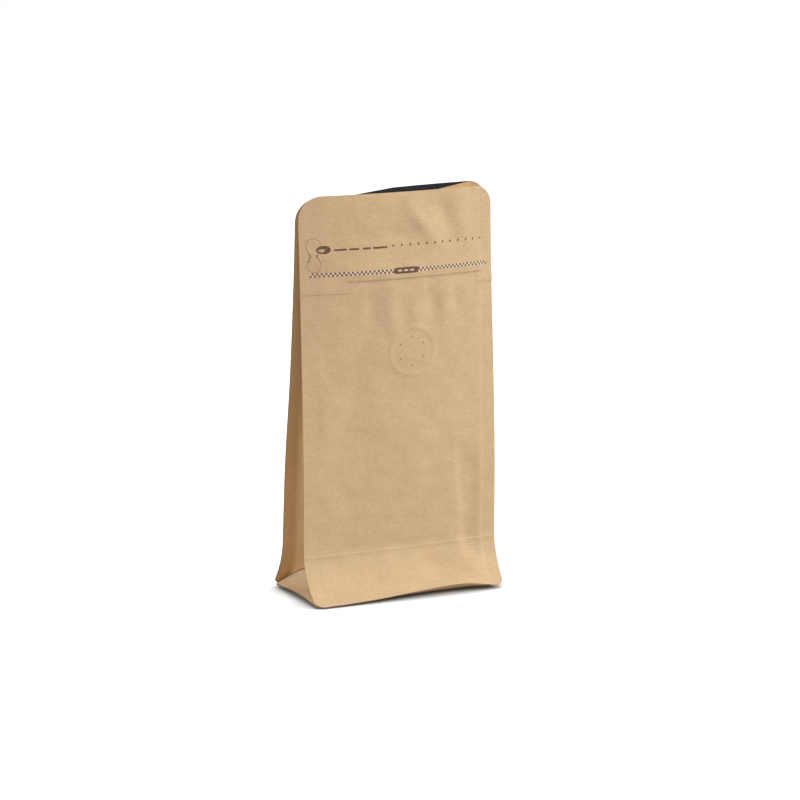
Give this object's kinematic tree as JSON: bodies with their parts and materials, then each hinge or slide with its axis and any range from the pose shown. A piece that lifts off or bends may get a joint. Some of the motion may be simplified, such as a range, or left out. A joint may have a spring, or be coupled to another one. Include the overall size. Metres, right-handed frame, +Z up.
{
  "type": "coffee bag with valve",
  "caption": "Empty flat-bottomed kraft coffee bag standing open, with folded side gussets, a round degassing valve and a zipper strip behind the front panel.",
  "frame": {"origin": "on the floor under the middle of the base", "axes": "+X to the right of the front panel, +Y to the back, +Z up; the front panel with the valve faces -Y"},
  "size_m": [0.135, 0.0695, 0.2639],
  "materials": {
    "kraft_laminate": "matt brown kraft paper laminated over a black inner film",
    "valve_plastic": "dark moulded plastic",
    "zipper_plastic": "dark flexible plastic tape"
  },
  "bodies": {
    "root": {"bag": "kraft_laminate", "valve": "valve_plastic", "zipper": "zipper_plastic"}
  },
  "joints": []
}
